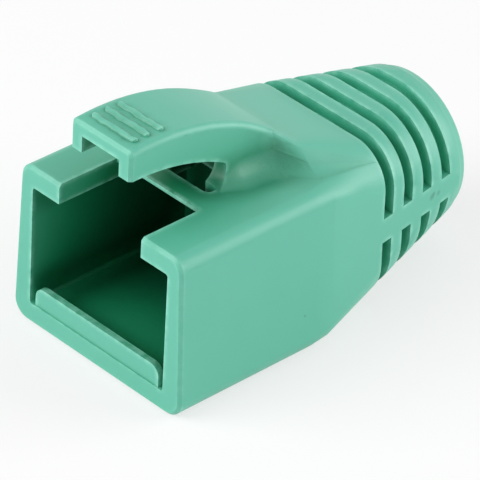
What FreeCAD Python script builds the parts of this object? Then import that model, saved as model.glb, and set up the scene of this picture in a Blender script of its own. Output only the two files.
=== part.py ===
import FreeCAD, Part
import math
import os

# Strain relief boot for a round network cable: one soft moulding, millimetres.
# X runs from the open mouth to the cable end, Y across, Z up from the flat underside.

V = FreeCAD.Vector

# straight box that covers the plug
boxLength = 12.0
boxHeight = 11.1
boxHalfTop = 7.0
boxHalfBottom = 7.45
boxTopRadius = 1.0
boxBottomRadius = 1.25
mouthEdge = 0.2

# plug cavity
plugWidth = 11.68
plugHeight = 8.15
plugClearance = 0.12
floorThickness = 1.45
cavityDepth = 12.6
cavityCornerRadius = 0.2

# latch slot, bridge behind it and the opening behind the bridge
slotHalf = 3.58
bridgeFront = 4.55
bridgeRear = 6.1
bridgeLip = 0.25
bridgeUndercut = 36.0
openingHalf = 2.62
openingRadius = 0.5
openingRearRadius = 0.2

# sill across the foot of the mouth
sillHalf = 5.45
sillTop = 2.85
sillFront = 0.06
sillDepth = 0.42
sillRadius = 0.7
sillFootRadius = 0.1
sillSink = 0.3

# tongue over the latch, its top a single arc
tongueFront = -0.15
tongueHalf = 2.6
tongueRootHalf = 3.7
tongueApexX = 1.7
tongueApexZ = 16.48
tongueArcRadius = 17.0
tonguePlate = 0.85
tongueWall = 1.0
tongueEdgeRadius = 0.4
tongueFrontEdge = 0.2
skirtApexX = 0.5
skirtApexZ = 14.42
skirtArcRadius = 15.0
windowRear = 7.54
windowTopRadius = 0.4
windowFootRadius = 1.3
flareStart = 8.6
footRadius = 1.4
footStartRadius = 0.5
windowSink = 0.1
hollowRear = 9.6

# crease where the tongue ends and the neck begins; the flanks lean back from there on
frontLength = 11.0
creaseX = 12.45
creaseLeast = 0.95
creaseLean = 50.0
creaseFootRadius = 1.5
creaseEdgeRadius = 0.8
mergeSoftness = 0.2
mergeShare = 0.96

# ribs for the finger
ribCount = 3
ribFirst = 0.9
ribPitch = 1.01
ribHalfLength = 1.6
ribRadius = 0.25
ribHeight = 0.17

# neck and grooved cable end
tailLength = 26.1
tailRadius = 5.2
tailCentre = 5.58
tailEndRadius = 0.9
grooveFirst = 17.38
grooveCount = 4
groovePitch = 1.955
grooveWidth = 0.9
webBottom = 4.75
webTop = 6.45
tubeRadius = 4.7
boreRadius = 3.5

eps = 0.01
seam = 0.03
wallSink = 0.4
beyond = 20.0


def blend(a, b, t):
    return a + (b - a) * t


# closed outline through corner points, every corner rounded by its own radius
def roundedLoop(corners, radii):
    starts = []
    middles = []
    ends = []
    count = len(corners)
    for i in range(count):
        point = corners[i]
        before = (corners[i - 1] - point).normalize()
        after = (corners[(i + 1) % count] - point).normalize()
        half = before.getAngle(after) / 2.0
        reach = radii[i] / math.tan(half)
        inward = (before + after).normalize()
        centre = point + inward * (radii[i] / math.sin(half))
        starts.append(point + before * reach)
        middles.append(centre - inward * radii[i])
        ends.append(point + after * reach)
    edges = []
    for i in range(count):
        edges.append(Part.LineSegment(ends[i - 1], starts[i]).toShape())
        edges.append(Part.Arc(starts[i], middles[i], ends[i]).toShape())
    return Part.Wire(edges)


# half width, top and bottom of the outer form at any distance from the mouth
def outerSizes(x):
    t = max(x - boxLength, 0.0) / (tailLength - tailEndRadius - boxLength)
    return {
        "halfTop": blend(boxHalfTop, tailRadius, t),
        "halfBottom": blend(boxHalfBottom, tailRadius, t),
        "top": blend(boxHeight, tailCentre + tailRadius, t),
        "bottom": blend(0.0, tailCentre - tailRadius, t),
        "topRadius": blend(boxTopRadius, tailRadius - seam, t),
        "bottomRadius": blend(boxBottomRadius, tailRadius - seam, t),
    }


def outerLoop(x):
    s = outerSizes(x)
    corners = [
        V(x, -s["halfBottom"], s["bottom"]),
        V(x, s["halfBottom"], s["bottom"]),
        V(x, s["halfTop"], s["top"]),
        V(x, -s["halfTop"], s["top"]),
    ]
    radii = [s["bottomRadius"], s["bottomRadius"], s["topRadius"], s["topRadius"]]
    return roundedLoop(corners, radii)


def makeBox():
    box = Part.Face(outerLoop(0.0)).extrude(V(frontLength, 0, 0))
    rim = []
    for edge in box.Edges:
        if edge.BoundBox.XMax < eps:
            rim.append(edge)
    return box.makeChamfer(mouthEdge, rim)


# height of the tongue's arc above the underside
def tongueTop(x):
    return tongueApexZ - tongueArcRadius + math.sqrt(tongueArcRadius ** 2 - (x - tongueApexX) ** 2)


# half width of the tongue, flaring towards the crease
def tongueSide(x):
    rise = tongueRootHalf - tongueHalf
    run = creaseX - flareStart
    radius = (run ** 2 + rise ** 2) / (2.0 * rise)
    return tongueHalf + radius - math.sqrt(radius ** 2 - max(x - flareStart, 0.0) ** 2)


# closed section from its right half, corners listed from the bottom to the top
def mirroredLoop(right, radii):
    left = [V(p.x, -p.y, p.z) for p in reversed(right)]
    return roundedLoop(right + left, radii + radii[::-1])


# section of the neck in front of the grooves: a plateau stands on the box with a concave foot beside it
def neckLoop(x, height, lean, footSoftness, edgeSoftness):
    s = outerSizes(x)
    half = tongueSide(x) - seam
    right = [
        V(x, s["halfBottom"], s["bottom"]),
        V(x, s["halfTop"], s["top"]),
        V(x, half + lean, s["top"]),
        V(x, half, s["top"] + height - seam),
    ]
    return mirroredLoop(right, [s["bottomRadius"], s["topRadius"], footSoftness, edgeSoftness])


# section from the first groove on: foot and plateau have merged into the large corner radius
def mergedLoop(x):
    s = outerSizes(x)
    split = s["topRadius"] * (1.0 - math.tan(math.pi / 8.0))
    spread = (s["halfBottom"] - s["halfTop"]) / (s["top"] - s["bottom"])
    side = V(x, s["halfTop"] + split * spread, s["top"] - split)
    plateau = V(x, s["halfTop"] - split, s["top"])
    foot = V(x, (side.y + plateau.y) / 2.0, (side.z + plateau.z) / 2.0 + eps)
    bend = mergeShare * s["topRadius"]
    right = [V(x, s["halfBottom"], s["bottom"]), side, foot, plateau]
    return mirroredLoop(right, [s["bottomRadius"], bend, mergeSoftness, bend])


def makeNeck():
    height = tongueTop(frontLength) - boxHeight
    crest = max(tongueTop(creaseX) - boxHeight, creaseLeast)
    lean = crest / math.tan(math.radians(creaseLean))
    sections = [
        neckLoop(frontLength, height, 0.0, footRadius, tongueEdgeRadius),
        neckLoop(creaseX, crest, lean, creaseFootRadius, creaseEdgeRadius),
        mergedLoop(grooveFirst),
        mergedLoop(grooveFirst + grooveWidth / 2.0),
    ]
    return Part.makeLoft(sections, True, True)


# grooved end: the section turns into a circle, then a collar of two cones rounds it off
def makeTail():
    start = grooveFirst + grooveWidth / 2.0
    end = tailLength - tailEndRadius
    tail = Part.makeLoft([outerLoop(start), outerLoop(end)], True, True)
    radius = tailRadius - seam / 2.0
    for i in range(2):
        angle = math.pi / 4.0
        rise = tailEndRadius * (math.sin(angle * (i + 1)) - math.sin(angle * i))
        drop = tailEndRadius * (math.cos(angle * i) - math.cos(angle * (i + 1)))
        tail = tail.fuse(Part.makeCone(radius, radius - drop, rise, V(end, 0, tailCentre), V(1, 0, 0)))
        end += rise
        radius -= drop
    return tail


# wall of the tongue: the arc seen from the side, the flaring outline seen from above
def makeTongueWall():
    low = boxHeight - wallSink
    start = V(tongueFront, 0, tongueTop(tongueFront))
    middle = V(flareStart, 0, tongueTop(flareStart))
    end = V(frontLength, 0, tongueTop(frontLength))
    side = [
        Part.Arc(start, middle, end).toShape(),
        Part.LineSegment(end, V(frontLength, 0, low)).toShape(),
        Part.LineSegment(V(frontLength, 0, low), V(tongueFront, 0, low)).toShape(),
        Part.LineSegment(V(tongueFront, 0, low), start).toShape(),
    ]
    profile = Part.Face(Part.Wire(side)).extrude(V(0, beyond, 0))
    profile.translate(V(0, -beyond / 2.0, 0))
    front = tongueFront - 1.0
    mid = (flareStart + frontLength) / 2.0
    right = [V(flareStart, tongueHalf, 0), V(mid, tongueSide(mid), 0), V(frontLength, tongueSide(frontLength), 0)]
    left = [V(p.x, -p.y, 0) for p in right]
    plan = [
        Part.LineSegment(V(front, -tongueHalf, 0), left[0]).toShape(),
        Part.Arc(*left).toShape(),
        Part.LineSegment(left[2], right[2]).toShape(),
        Part.Arc(*reversed(right)).toShape(),
        Part.LineSegment(right[0], V(front, tongueHalf, 0)).toShape(),
        Part.LineSegment(V(front, tongueHalf, 0), V(front, -tongueHalf, 0)).toShape(),
    ]
    outline = Part.Face(Part.Wire(plan)).extrude(V(0, 0, beyond))
    wall = profile.common(outline)
    long = []
    for edge in wall.Edges:
        box = edge.BoundBox
        if box.ZMin > tongueTop(frontLength) - eps and box.XLength > 1.0:
            long.append(edge)
    wall = wall.makeFillet(tongueEdgeRadius, long)
    front = []
    for edge in wall.Edges:
        box = edge.BoundBox
        if box.XMax < tongueFront + eps and box.ZMax > low + 1.0:
            front.append(edge)
    return wall.makeChamfer(tongueFrontEdge, front)


# open space between the skirt of the tongue and the box, rounded at its rear end
def makeGap(low):
    wide = 2.0 * boxHalfTop
    gap = Part.makeBox(windowRear + 2.0, wide, beyond, V(-2.0, -boxHalfTop, low))
    centre = V(skirtApexX, -boxHalfTop, skirtApexZ - skirtArcRadius)
    gap = gap.common(Part.makeCylinder(skirtArcRadius, wide, centre, V(0, 1, 0)))
    for radius, upper in ((windowTopRadius, True), (windowFootRadius, False)):
        rear = []
        for edge in gap.Edges:
            b = edge.BoundBox
            if b.XMin > windowRear - eps and b.YLength > boxHalfTop and b.XLength < eps:
                if (b.ZMax > low + windowFootRadius) == upper:
                    rear.append(edge)
        gap = gap.makeFillet(radius, rear)
    return gap


# straight edge along the foot of the tongue's wall, on the side that is asked for
def footEdge(body, side):
    for edge in body.Edges:
        b = edge.BoundBox
        level = b.ZMin > boxHeight - eps and b.ZMax < boxHeight + eps
        if level and abs(b.Center.y - side * tongueHalf) < eps and abs(b.XMax - flareStart) < eps:
            return edge


# box and tongue in one, with a concave foot on both sides that grows from the window to the flare
def makeFront():
    wall = makeTongueWall().cut(makeGap(boxHeight - windowSink))
    body = makeBox().fuse(wall).removeSplitter()
    for side in (-1.0, 1.0):
        edge = footEdge(body, side)
        rising = edge.Vertexes[0].X < edge.Vertexes[-1].X
        first = footStartRadius if rising else footRadius
        last = footRadius if rising else footStartRadius
        body = body.makeFillet(first, last, [edge])
    return body


# channel inside the tongue that frees the latch, open to the cavity behind the bridge
def makeHollow():
    half = tongueHalf - tongueWall
    centre = V(tongueApexX, -half, tongueApexZ - tongueArcRadius)
    channel = Part.makeBox(hollowRear + 2.0, 2.0 * half, beyond, V(-2.0, -half, boxHeight - eps))
    channel = channel.common(Part.makeCylinder(tongueArcRadius - tonguePlate, 2.0 * half, centre, V(0, 1, 0)))
    low = floorThickness + plugHeight / 2.0
    size = V(hollowRear - bridgeRear, 2.0 * half, boxHeight + 1.0 - low)
    through = Part.makeBox(size.x, size.y, size.z, V(bridgeRear, -half, low))
    return channel.fuse(through)


# plug cavity with the bore for the cable behind it
def makeCavity():
    half = plugWidth / 2.0 + plugClearance / 2.0
    top = floorThickness + plugHeight + plugClearance
    corners = [V(-1, -half, floorThickness), V(-1, half, floorThickness), V(-1, half, top), V(-1, -half, top)]
    cavity = Part.Face(roundedLoop(corners, [cavityCornerRadius] * 4)).extrude(V(cavityDepth + 1.0, 0, 0))
    bore = Part.makeCylinder(boreRadius, tailLength, V(cavityDepth, 0, tailCentre), V(1, 0, 0))
    return cavity.fuse(bore)


# slot for the latch and the pierced opening behind the bridge, both down into the cavity
def makeTopOpenings():
    low = floorThickness + plugHeight / 2.0
    slot = Part.makeBox(bridgeFront + 1.0, 2.0 * slotHalf, boxHeight + 0.5 - low, V(-1.0, -slotHalf, low))
    slope = math.tan(math.radians(bridgeUndercut))
    under = boxHeight - bridgeLip
    drop = under - low
    wedge = Part.makePolygon([
        V(bridgeFront - eps, -slotHalf, under),
        V(bridgeFront + drop / slope, -slotHalf, low),
        V(bridgeFront - eps, -slotHalf, low),
        V(bridgeFront - eps, -slotHalf, under),
    ])
    undercut = Part.Face(wedge).extrude(V(0, 2.0 * slotHalf, 0))
    reach = windowRear - windowFootRadius / 2.0
    corners = [
        V(bridgeRear, -openingHalf, low),
        V(reach, -openingHalf, low),
        V(reach, openingHalf, low),
        V(bridgeRear, openingHalf, low),
    ]
    loop = roundedLoop(corners, [openingRadius, openingRearRadius, openingRearRadius, openingRadius])
    opening = Part.Face(loop).extrude(V(0, 0, boxHeight + 0.5 - low))
    return [slot, undercut, opening]


# low bar across the foot of the mouth, free of the side walls
def makeSill():
    low = floorThickness - sillSink
    corners = [V(sillFront, -sillHalf, low), V(sillFront, sillHalf, low)]
    corners += [V(sillFront, sillHalf, sillTop), V(sillFront, -sillHalf, sillTop)]
    loop = roundedLoop(corners, [sillFootRadius, sillFootRadius, sillRadius, sillRadius])
    return Part.Face(loop).extrude(V(sillDepth, 0, 0))


# one groove round the cable end: a slab less the inner tube and the web on each side
def makeGroove(x):
    groove = Part.makeBox(grooveWidth, beyond, beyond, V(x, -beyond / 2.0, -1.0))
    groove = groove.cut(Part.makeCylinder(tubeRadius, grooveWidth, V(x, 0, tailCentre), V(1, 0, 0)))
    web = Part.makeBox(grooveWidth, beyond, webTop - webBottom, V(x, -beyond / 2.0, webBottom))
    return groove.cut(web)


# one finger rib: a round bar let into the arc, its ends rounded in plan
def makeRib(x):
    z = tongueTop(x) + ribHeight - ribRadius
    reach = ribHalfLength + ribRadius
    bar = Part.makeCylinder(ribRadius, 2.0 * reach, V(x, -reach, z), V(0, 1, 0))
    plan = Part.makeCylinder(ribRadius - eps, 1.0, V(x, -ribHalfLength, z - 0.5))
    plan = plan.fuse(Part.makeCylinder(ribRadius - eps, 1.0, V(x, ribHalfLength, z - 0.5)))
    corner = V(x - ribRadius, -ribHalfLength, z - 0.5)
    plan = plan.fuse(Part.makeBox(2.0 * ribRadius, 2.0 * ribHalfLength, 1.0, corner))
    return bar.common(plan)


def makeBoot():
    neck = makeNeck().cut(makeGroove(grooveFirst))
    tail = makeTail().cut([makeGroove(grooveFirst + groovePitch * i) for i in range(grooveCount)])
    boot = makeFront().fuse([neck, tail])
    boot = boot.cut(makeCavity())
    boot = boot.cut(makeTopOpenings())
    boot = boot.cut(makeHollow())
    added = [makeSill()]
    for i in range(ribCount):
        added.append(makeRib(ribFirst + ribPitch * i))
    return boot.fuse(added)


os.makedirs("parts", exist_ok=True)
boot = makeBoot()
if len(boot.Solids) == 1:
    boot = boot.Solids[0]
boot.exportStep("parts/boot.step")
print("boot", boot.ShapeType, boot.isValid(), round(boot.Volume, 1), len(boot.Faces), boot.BoundBox)
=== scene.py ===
import math
import bmesh
import bpy
import numpy as np
from mathutils import Matrix, Vector
from mathutils.geometry import intersect_point_line


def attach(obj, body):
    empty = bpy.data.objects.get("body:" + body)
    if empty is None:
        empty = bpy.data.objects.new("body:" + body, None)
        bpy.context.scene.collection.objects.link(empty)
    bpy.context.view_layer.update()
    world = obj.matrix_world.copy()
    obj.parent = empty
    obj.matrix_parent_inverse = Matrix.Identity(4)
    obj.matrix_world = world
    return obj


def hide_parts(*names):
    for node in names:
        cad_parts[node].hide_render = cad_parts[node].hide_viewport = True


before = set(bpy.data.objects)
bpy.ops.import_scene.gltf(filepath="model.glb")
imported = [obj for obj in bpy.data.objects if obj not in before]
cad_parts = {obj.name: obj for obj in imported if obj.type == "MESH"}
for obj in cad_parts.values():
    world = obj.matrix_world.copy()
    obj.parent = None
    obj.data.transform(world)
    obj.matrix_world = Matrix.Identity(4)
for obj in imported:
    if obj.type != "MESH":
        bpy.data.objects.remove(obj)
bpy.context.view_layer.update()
print("frame loaded")

mm = 0.001


# sRGB hex to the linear values that nodes take
def toLinear(hexColour):
    values = [int(hexColour[i:i + 2], 16) / 255.0 for i in (1, 3, 5)]
    return [v / 12.92 if v <= 0.04045 else ((v + 0.055) / 1.055) ** 2.4 for v in values] + [1.0]


# one node with its settings, its values and the links into it
def addNode(tree, kind, settings=None, values=None, links=None):
    node = tree.nodes.new(kind)
    for name, value in (settings or {}).items():
        setattr(node, name, value)
    for name, value in (values or {}).items():
        node.inputs[name].default_value = value
    for name, socket in (links or {}).items():
        tree.links.new(socket, node.inputs[name])
    return node


# the whole moulding, lengths in mm
boot = {
    "mergeDistance": 0.002,
    "flatAngle": 0.4,          # degrees, triangles this close to flat become one face
    "leastFace": 1e-6,         # mm2, edges of thinner slivers aren't rounded
    "edgeRound": 0.07,         # the small radius that a mould leaves on every sharp edge
    "edgeAngle": 28.0,         # degrees, softer bends stay as they are
    "edgeSteps": 2,
    "flatWeight": 80,          # how strongly broad faces hold the shading of their edges
    "cutMerge": 0.001,         # a finer cut this near to a point runs through it
    "body": "#60b79e",
    "tint": "#54b197",
    "flow": 9.0,               # size of the cloudy change between the two
    "reach": 16.0,             # how far the plastic looks round for its own walls
    "closeReach": 2.5,
    # openness from shut to open with the painted shade that it gives: cavity, shaded wall, open skin
    "hollowShade": [(0.1, "#0c6448"), (0.32, "#5fd0a8"), (0.95, "#ffffff")],
    # the same painted shade for the near surroundings: narrow groove, soft fold, flat skin
    "foldShade": [(0.5, "#dcfff8"), (0.8, "#84baa6"), (0.97, "#ffffff")],
    "wearAndHighlight": "#8fd9c3",         # rubbed edges with a painted edge highlight
    "wearAndHighlightReach": 0.4,          # their width
    "wearAndHighlightFrom": 0.95,          # 1 on flat skin, less the sharper the edge
    "wearAndHighlightTo": 0.45,
    "rub": 0.7,                # size of the patches that break up the rubbed edges with their painted highlight
    "rubNoise": (0.3, 0.65),   # from the least rubbed to the most
    "rubShare": (0.1, 0.9),
    "mark": "#2f7563",
    # scuffs between the upper and lower grooves and a speck on the side: x, y, z and radius
    "marks": [(22.33, -5.64, 5.65, 0.32), (23.0, -5.54, 5.62, 0.25),
              (22.5, -5.6, 5.8, 0.2), (10.13, -7.32, 3.12, 0.12)],
    "markCore": 0.3,           # share of the radius that has the full colour
    "grain": 0.16,             # a mould's fine spark grain, a little coarser than real so that it shows
    "grainDepth": 0.01,
    "grainStrength": 0.25,
    "roughness": 0.4,
    "ior": 1.5,
}


# injection-moulded soft PVC: satin skin, deep green painted shade where its walls face each other and in soft
# folds, rubbed edges painted lighter as wear and highlight
def softPvcMaterial():
    material = bpy.data.materials.new("softPvcMoulded")
    material.use_nodes = True
    tree = material.node_tree
    tree.nodes.clear()
    place = addNode(tree, "ShaderNodeTexCoord")
    cloud = addNode(tree, "ShaderNodeTexNoise", values={"Scale": 1.0 / (boot["flow"] * mm), "Detail": 3.0},
                    links={"Vector": place.outputs["Object"]})
    skin = addNode(tree, "ShaderNodeMix", {"data_type": "RGBA"},
                   {6: toLinear(boot["body"]), 7: toLinear(boot["tint"])},
                   {0: cloud.outputs["Fac"]})

    # how open each spot is, far round it and close by
    around = addNode(tree, "ShaderNodeAmbientOcclusion", {"samples": 16, "only_local": True},
                     {"Distance": boot["reach"] * mm})
    close = addNode(tree, "ShaderNodeAmbientOcclusion", {"samples": 8, "only_local": True},
                    {"Distance": boot["closeReach"] * mm})
    # walls that face each other far apart: open close by, shut in further out; this sets the painted cavity
    # shade
    inside = addNode(tree, "ShaderNodeMath", {"operation": "DIVIDE", "use_clamp": True},
                     links={0: around.outputs["AO"], 1: close.outputs["AO"]})
    hollowShade = addNode(tree, "ShaderNodeValToRGB", links={"Fac": inside.outputs[0]})
    # soft hollows, such as the tongue's foot, get a painted shade of deeper green than flat skin and narrow
    # grooves
    foldShade = addNode(tree, "ShaderNodeValToRGB", links={"Fac": close.outputs["AO"]})
    for ramp, stops in ((hollowShade.color_ramp, boot["hollowShade"]), (foldShade.color_ramp, boot["foldShade"])):
        ramp.elements.new(stops[1][0])
        for element, (openness, colour) in zip(ramp.elements, stops):
            element.position = openness
            element.color = toLinear(colour)
    # the painted shade of folds and cavities is multiplied into the skin colour
    folded = addNode(tree, "ShaderNodeMix", {"data_type": "RGBA", "blend_type": "MULTIPLY"}, {0: 1.0},
                     {6: skin.outputs[2], 7: foldShade.outputs["Color"]})
    shaded = addNode(tree, "ShaderNodeMix", {"data_type": "RGBA", "blend_type": "MULTIPLY"}, {0: 1.0},
                     {6: folded.outputs[2], 7: hollowShade.outputs["Color"]})

    # outer edges are rubbed in patches and get a painted highlight there
    edge = addNode(tree, "ShaderNodeAmbientOcclusion", {"samples": 8, "inside": True, "only_local": True},
                   {"Distance": boot["wearAndHighlightReach"] * mm})
    rub = addNode(tree, "ShaderNodeTexNoise", values={"Scale": 1.0 / (boot["rub"] * mm), "Detail": 3.0},
                  links={"Vector": place.outputs["Object"]})
    near = addNode(tree, "ShaderNodeMapRange",
                   values={"From Min": boot["wearAndHighlightFrom"], "From Max": boot["wearAndHighlightTo"],
                           "To Min": 0.0, "To Max": 1.0},
                   links={"Value": edge.outputs["AO"]})
    patchy = addNode(tree, "ShaderNodeMapRange",
                     values={"From Min": boot["rubNoise"][0], "From Max": boot["rubNoise"][1],
                             "To Min": boot["rubShare"][0], "To Max": boot["rubShare"][1]},
                     links={"Value": rub.outputs["Fac"]})
    wearAndHighlight = addNode(tree, "ShaderNodeMath", {"operation": "MULTIPLY"},
                   links={0: near.outputs["Result"], 1: patchy.outputs["Result"]})
    # painted highlight and wear: the edge mask mixes a lighter colour into the skin
    colour = addNode(tree, "ShaderNodeMix", {"data_type": "RGBA"}, {7: toLinear(boot["wearAndHighlight"])},
                     {0: wearAndHighlight.outputs[0], 6: shaded.outputs[2]})

    # each mark fades from its core to its radius and is smeared by the same patches
    for x, y, z, radius in boot["marks"]:
        away = addNode(tree, "ShaderNodeVectorMath", {"operation": "DISTANCE"}, {1: (x * mm, y * mm, z * mm)},
                       {0: place.outputs["Object"]})
        spot = addNode(tree, "ShaderNodeMapRange",
                       values={"From Min": radius * mm, "From Max": boot["markCore"] * radius * mm,
                               "To Min": 0.0, "To Max": 1.0},
                       links={"Value": away.outputs["Value"]})
        smear = addNode(tree, "ShaderNodeMath", {"operation": "MULTIPLY"},
                        links={0: spot.outputs["Result"], 1: rub.outputs["Fac"]})
        colour = addNode(tree, "ShaderNodeMix", {"data_type": "RGBA"}, {7: toLinear(boot["mark"])},
                         {0: smear.outputs[0], 6: colour.outputs[2]})

    # the direction that softenNeck gives the surface, as far as its share goes
    plain = addNode(tree, "ShaderNodeNewGeometry")
    soft = addNode(tree, "ShaderNodeAttribute", {"attribute_name": "softNormal"})
    share = addNode(tree, "ShaderNodeAttribute", {"attribute_name": "softShare"})
    turned = addNode(tree, "ShaderNodeVectorTransform",
                     {"vector_type": "VECTOR", "convert_from": "OBJECT", "convert_to": "WORLD"},
                     links={"Vector": soft.outputs["Vector"]})
    flowed = addNode(tree, "ShaderNodeMix", {"data_type": "VECTOR"},
                     links={0: share.outputs["Fac"], 4: plain.outputs["Normal"], 5: turned.outputs["Vector"]})
    facing = addNode(tree, "ShaderNodeVectorMath", {"operation": "NORMALIZE"}, links={0: flowed.outputs[1]})
    grain = addNode(tree, "ShaderNodeTexNoise", values={"Scale": 1.0 / (boot["grain"] * mm), "Detail": 2.0},
                    links={"Vector": place.outputs["Object"]})
    bump = addNode(tree, "ShaderNodeBump",
                   values={"Strength": boot["grainStrength"], "Distance": boot["grainDepth"] * mm},
                   links={"Height": grain.outputs["Fac"], "Normal": facing.outputs["Vector"]})
    sheen = addNode(tree, "ShaderNodeBsdfPrincipled",
                    values={"Roughness": boot["roughness"], "IOR": boot["ior"]},
                    links={"Base Color": colour.outputs[2], "Normal": bump.outputs["Normal"]})
    addNode(tree, "ShaderNodeOutputMaterial", links={"Surface": sheen.outputs["BSDF"]})
    return material


# cuts the faces that pass the test along each plane, so that the surface gets more points
def cutFiner(work, passes, planes):
    for place, normal in planes:
        faces = [f for f in work.faces if passes(f.calc_center_median(), f.normal)]
        edges = {e for f in faces for e in f.edges}
        verts = {v for f in faces for v in f.verts}
        bmesh.ops.bisect_plane(work, geom=list(verts) + list(edges) + faces, dist=boot["cutMerge"] * mm,
                               plane_co=place, plane_no=normal)
    work.normal_update()


# finger ribs on the guard, in mm
ribs = {
    "first": 0.35,             # from the guard's tip to behind the last rib
    "last": 3.7,
    "half": 2.3,               # half their width
    "low": 12.5,
    "upward": -0.2,            # least upward share of a direction, which leaves the guard's underside alone
    "grid": 0.18,
    "endFade": 0.4,
    "sideFade": 0.5,
    "wander": 0.03,            # how far their lines stray
    "longWave": 1.9,
    "longShift": 0.31,         # turns per mm from rib to rib
    "shortWave": 0.83,
    "shortShift": 0.57,
    "shortShare": 0.7,
    "dent": 0.03,              # how deep their backs dip
    "dentWave": 1.1,
    "dentShift": 0.43,
}


# the ribs come from a worn mould: x strays by a long and a short sine along y, each shifted from rib to rib,
# and the height dips by the upper half of a third
def wanderRibs(work):
    first, last, half = ribs["first"], ribs["last"], ribs["half"]
    turn = 2.0 * math.pi

    def isTop(point, normal):
        inPlan = first * mm < point.x < last * mm and abs(point.y) < half * mm
        return inPlan and point.z > ribs["low"] * mm and normal.z > ribs["upward"]

    rows = np.arange(-half, half, ribs["grid"])
    cutFiner(work, isTop, [(Vector((0, y * mm, 0)), Vector((0, 1, 0))) for y in rows])
    for vert in work.verts:
        if not isTop(vert.co, vert.normal):
            continue
        x, y = vert.co.x / mm, vert.co.y / mm
        toEnd = min((x - first) / ribs["endFade"], (last - x) / ribs["endFade"])
        fade = min(toEnd, (half - abs(y)) / ribs["sideFade"], 1.0)
        longSine = math.sin(turn * (y / ribs["longWave"] + ribs["longShift"] * x))
        shortSine = math.sin(turn * (y / ribs["shortWave"] - ribs["shortShift"] * x))
        dentSine = math.sin(turn * (y / ribs["dentWave"] + ribs["dentShift"] * x))
        vert.co.x += ribs["wander"] * fade * mm * (longSine + ribs["shortShare"] * shortSine)
        vert.co.z -= ribs["dent"] * fade * mm * max(0.0, dentSine)


# where the tongue runs out into the neck, in mm unless it says otherwise
neck = {
    "seam": 11.0,              # front and neck meet here, a hair apart
    "seamWidth": 0.01,         # faces this near to it belong to the step
    "step": 0.06,              # the most that a point moves to close the seam
    "across": 0.99,            # cosine, a face that looks along the boot
    "first": 10.0,             # from the guard's end to the first groove
    "last": 17.2,
    "half": 7.0,
    "low": 8.2,
    "upward": 0.05,            # least upward share of a face's direction, for the finer cuts
    "grid": 0.3,
    "around": 0.8,             # how far the surface takes its direction from its neighbours
    "fade": 1.2,               # from the neck's start, and up from its lowest points
    "endFade": 0.4,
    "sideFade": 0.6,
    "realEdge": 0.52,          # cosine, turns beyond it stay crisp
    "softEdge": 0.86,          # cosine, turns within it soften fully
    "cornerEdge": 0.8,         # cosine, a point whose own faces turn more than this stays as it is
    "sliver": 0.012,           # mm2, faces as small as a rounded edge's have no say in that
}


# the moulding has no step where the tongue's wall meets the neck: each point of the neck's outline moves
# to the nearest place on the wall's outline
def closeSeam(work):
    seam = neck["seam"] * mm
    steps, moves = [], {}
    for face in work.faces:
        middle = face.calc_center_median()
        atSeam = abs(face.normal.x) >= neck["across"] and abs(middle.x - seam) <= neck["seamWidth"] * mm
        if not atSeam or middle.z < neck["low"] * mm:
            continue
        steps.append(face)
        wall, rest = [], []
        for edge in face.edges:
            other = next(f for f in edge.link_faces if f is not face)
            (wall if other.calc_center_median().x < seam else rest).append(edge)
        for vert in {v for e in rest for v in e.verts} - {v for e in wall for v in e.verts}:
            places = []
            for edge in wall:
                start, end = (v.co for v in edge.verts)
                share = intersect_point_line(vert.co, start, end)[1]
                places.append(start.lerp(end, min(max(share, 0.0), 1.0)))
            nearest = min(places, key=lambda p: (p - vert.co).length, default=vert.co)
            if (nearest - vert.co).length < neck["step"] * mm:
                moves[vert] = nearest
    bmesh.ops.triangulate(work, faces=steps)
    for vert, place in moves.items():
        vert.co = place
    work.normal_update()


# from 0 to 1 over a width and level at both ends: 3t^2 - 2t^3
def smoothStep(value, width):
    t = min(max(value / (width * mm), 0.0), 1.0)
    return t * t * (3.0 - 2.0 * t)


# behind the tongue the soft plastic has flowed and the light runs over it without a break: each point
# keeps its place and gets the mean direction of the surface around it, unless the turn is a real edge
def softenNeck(work):
    first, last, half, low = neck["first"], neck["last"], neck["half"], neck["low"]

    def isNeck(point):
        return first * mm < point.x < last * mm and point.z > low * mm and abs(point.y) < half * mm

    def isTop(point, normal):
        return isNeck(point) and normal.z > neck["upward"]

    across = [(Vector((x * mm, 0, 0)), Vector((1, 0, 0))) for x in np.arange(first, last, neck["grid"])]
    along = [(Vector((0, y * mm, 0)), Vector((0, 1, 0))) for y in np.arange(-half, half, neck["grid"])]
    cutFiner(work, isTop, across + along)

    faces = [f for f in work.faces if isNeck(f.calc_center_median())]
    centres = np.array([f.calc_center_median()[:] for f in faces]) / mm
    turns = np.array([f.normal[:] for f in faces])
    areas = np.array([f.calc_area() for f in faces]) / mm ** 2
    softNormal = work.verts.layers.float_vector.new("softNormal")
    softShare = work.verts.layers.float.new("softShare")
    for vert in work.verts:
        if not isNeck(vert.co):
            continue
        own = sum((f.normal * f.calc_area() for f in vert.link_faces), Vector()).normalized()
        broad = [f for f in vert.link_faces if f.calc_area() > neck["sliver"] * mm ** 2]
        if min((f.normal.dot(own) for f in broad), default=1.0) < neck["cornerEdge"]:
            continue
        # each face weighs its area times e^(-d^2 / 2r^2), times how alike the two directions are
        away = ((centres - np.array(vert.co[:]) / mm) ** 2).sum(axis=1)
        alike = (turns @ np.array(own[:]) - neck["realEdge"]) / (neck["softEdge"] - neck["realEdge"])
        weight = areas * np.clip(alike, 0.0, 1.0) * np.exp(-away / (2.0 * neck["around"] ** 2))
        vert[softNormal] = Vector((turns * weight[:, None]).sum(axis=0)).normalized()
        vert[softShare] = (smoothStep(vert.co.x - first * mm, neck["fade"])
                           * smoothStep(last * mm - vert.co.x, neck["endFade"])
                           * smoothStep(vert.co.z - low * mm, neck["fade"])
                           * smoothStep(half * mm - abs(vert.co.y), neck["sideFade"]))


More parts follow.
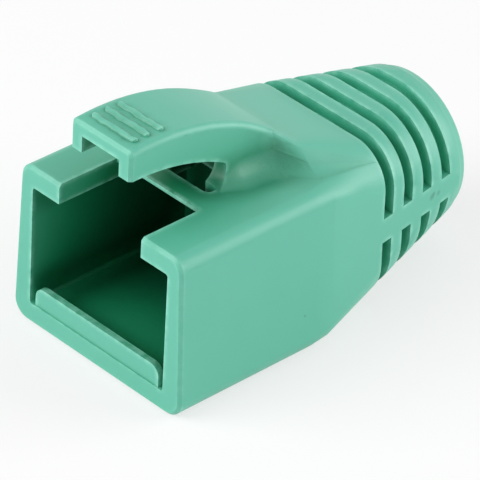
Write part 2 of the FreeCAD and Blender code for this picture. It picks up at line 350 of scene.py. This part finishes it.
# the moulding itself: the CAD surface welded, with its flat faces joined and every sharp edge rounded
def makeBoot():
    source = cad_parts["boot"]
    mesh = bpy.data.meshes.new("bootMoulding")
    work = bmesh.new()
    work.from_mesh(source.data)
    bmesh.ops.remove_doubles(work, verts=work.verts, dist=boot["mergeDistance"] * mm)
    bmesh.ops.dissolve_limit(work, angle_limit=math.radians(boot["flatAngle"]),
                             verts=work.verts, edges=work.edges)
    work.normal_update()
    closeSeam(work)
    print("surface welded, seam closed")

    sharp = [e for e in work.edges if len(e.link_faces) == 2
             and min(f.calc_area() for f in e.link_faces) > boot["leastFace"] * mm ** 2
             and e.calc_face_angle() > math.radians(boot["edgeAngle"])]
    bmesh.ops.bevel(work, geom=sharp, offset=boot["edgeRound"] * mm, offset_type="OFFSET",
                    segments=boot["edgeSteps"], profile=0.5, affect="EDGES", clamp_overlap=True)
    print("edges rounded:", len(sharp))

    wanderRibs(work)
    softenNeck(work)
    work.to_mesh(mesh)
    work.free()
    mesh.polygons.foreach_set("use_smooth", [True] * len(mesh.polygons))
    piece = bpy.data.objects.new("bootMoulding", mesh)
    bpy.context.scene.collection.objects.link(piece)
    # broad faces stay flat beside their rounded edges
    flat = piece.modifiers.new("broadFaces", "WEIGHTED_NORMAL")
    flat.mode = "FACE_AREA"
    flat.weight = boot["flatWeight"]
    mesh.materials.append(softPvcMaterial())
    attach(piece, "root")
    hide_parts("boot")
    print("boot made:", len(mesh.polygons), "faces")


# a white table in a softly lit room
studio = {
    "white": "#ffffff",
    "floor": "#f6f6f6",
    "floorSize": 600.0,        # mm
    "floorGap": 0.02,          # mm, keeps the table clear of the boot's underside
    "glow": 0.65,              # share of the table that is white by itself, the rest keeps the shadow
    # light from the table's level, from halfway up and from overhead: sine of the elevation, strength
    "room": [(0.05, 0.92), (0.4, 0.33), (0.8, 0.5)],
}


# 1 for rays that show the background: straight from the camera, mirrored or through something clear
def seenRays(tree):
    path = addNode(tree, "ShaderNodeLightPath")
    seen = addNode(tree, "ShaderNodeMath", {"operation": "MAXIMUM"},
                   links={0: path.outputs["Is Camera Ray"], 1: path.outputs["Is Glossy Ray"]})
    return addNode(tree, "ShaderNodeMath", {"operation": "MAXIMUM"},
                   links={0: seen.outputs[0], 1: path.outputs["Is Transmission Ray"]}).outputs[0]


# matt white card: no shine and a soft shadow, with a glow that keeps it white to the eye
def makeFloor():
    half = studio["floorSize"] * mm / 2.0
    mesh = bpy.data.meshes.new("floor")
    corners = [(-half, -half, 0), (half, -half, 0), (half, half, 0), (-half, half, 0)]
    mesh.from_pydata(corners, [], [(0, 1, 2, 3)])
    floor = bpy.data.objects.new("floor", mesh)
    floor.location.z = -studio["floorGap"] * mm
    bpy.context.scene.collection.objects.link(floor)
    material = bpy.data.materials.new("mattWhiteCard")
    material.use_nodes = True
    tree = material.node_tree
    tree.nodes.clear()
    card = addNode(tree, "ShaderNodeBsdfDiffuse", values={"Color": toLinear(studio["floor"])})
    glow = addNode(tree, "ShaderNodeEmission", values={"Color": toLinear(studio["white"]), "Strength": 1.0})
    bright = addNode(tree, "ShaderNodeMixShader", values={0: studio["glow"]},
                     links={1: card.outputs[0], 2: glow.outputs[0]})
    mix = addNode(tree, "ShaderNodeMixShader",
                  links={0: seenRays(tree), 1: card.outputs[0], 2: bright.outputs[0]})
    addNode(tree, "ShaderNodeOutputMaterial", links={"Surface": mix.outputs[0]})
    mesh.materials.append(material)


# the boot is lit by the room, while the background shows plain white
def makeWorld():
    world = bpy.data.worlds.new("whiteStudio")
    bpy.context.scene.world = world
    world.use_nodes = True
    tree = world.node_tree
    tree.nodes.clear()
    sky = addNode(tree, "ShaderNodeTexCoord")
    way = addNode(tree, "ShaderNodeSeparateXYZ", links={0: sky.outputs["Generated"]})
    level = addNode(tree, "ShaderNodeValToRGB", links={"Fac": way.outputs["Z"]})
    level.color_ramp.interpolation = "EASE"
    level.color_ramp.elements.new(studio["room"][1][0])
    for element, (sine, strength) in zip(level.color_ramp.elements, studio["room"]):
        element.position = sine
        element.color = [strength] * 3 + [1.0]
    light = addNode(tree, "ShaderNodeBackground", values={"Color": toLinear(studio["white"])},
                    links={"Strength": level.outputs["Color"]})
    paper = addNode(tree, "ShaderNodeBackground",
                    values={"Color": toLinear(studio["white"]), "Strength": 1.0})
    mix = addNode(tree, "ShaderNodeMixShader",
                  links={0: seenRays(tree), 1: light.outputs[0], 2: paper.outputs[0]})
    addNode(tree, "ShaderNodeOutputWorld", links={"Surface": mix.outputs[0]})


# unit vector towards a place given by azimuth and elevation, azimuth 0 stands on the -Y side
def towards(azimuth, elevation):
    a = math.radians(azimuth)
    e = math.radians(elevation)
    return Vector((math.sin(a) * math.cos(e), -math.cos(a) * math.cos(e), math.sin(e)))


# two soft boxes, with the azimuth and elevation they shine from in degrees, lengths in mm and power in watts
softBoxes = {
    "tailSide": {"azimuth": 52.0, "elevation": 18.0, "distance": 300.0, "size": 240.0, "power": 0.65},
    "mouthSide": {"azimuth": -116.0, "elevation": 34.0, "distance": 300.0, "size": 240.0, "power": 0.7},
}
bootMiddle = (13.0, 0.0, 6.0)  # mm, what they point at


def makeSoftBoxes():
    for name, box in softBoxes.items():
        data = bpy.data.lights.new(name, "AREA")
        data.size = box["size"] * mm
        data.energy = box["power"]
        lamp = bpy.data.objects.new(name, data)
        back = towards(box["azimuth"], box["elevation"])
        lamp.location = Vector(bootMiddle) * mm + back * box["distance"] * mm
        lamp.rotation_euler = back.to_track_quat("Z", "Y").to_euler()
        bpy.context.scene.collection.objects.link(lamp)


# the photograph's own camera, solved from the boot's edges
camera = {
    "azimuth": -45.092,        # degrees
    "elevation": 33.955,
    "roll": -3.315,
    "aim": (0.0, 0.0, 5.98),   # mm, the point that the three offsets start from
    "right": 8.378,            # mm to the camera's right
    "up": 2.559,
    "back": 264.453,
    "lens": 337.5,
    "sensor": 36.0,
    "nearest": 10.0,           # mm, closer things aren't drawn
    "farthest": 5000.0,
}


def makeCamera():
    azimuth = math.radians(camera["azimuth"])
    roll = math.radians(camera["roll"])
    level = Vector((math.cos(azimuth), math.sin(azimuth), 0.0))
    back = towards(camera["azimuth"], camera["elevation"])
    upright = back.cross(level)
    right = level * math.cos(roll) - upright * math.sin(roll)
    up = level * math.sin(roll) + upright * math.cos(roll)
    place = Vector(camera["aim"]) + right * camera["right"] + up * camera["up"] + back * camera["back"]
    data = bpy.data.cameras.new("photoCamera")
    data.lens = camera["lens"]
    data.sensor_width = camera["sensor"]
    data.clip_start = camera["nearest"] * mm
    data.clip_end = camera["farthest"] * mm
    eye = bpy.data.objects.new("photoCamera", data)
    turn = Matrix((right, up, back)).transposed().to_4x4()
    eye.matrix_world = Matrix.Translation(place * mm) @ turn
    bpy.context.scene.collection.objects.link(eye)
    bpy.context.scene.camera = eye


makeBoot()
makeFloor()
makeWorld()
makeSoftBoxes()
print("table and lights ready")
makeCamera()
bpy.context.scene.view_settings.view_transform = "Standard"
print("camera ready")
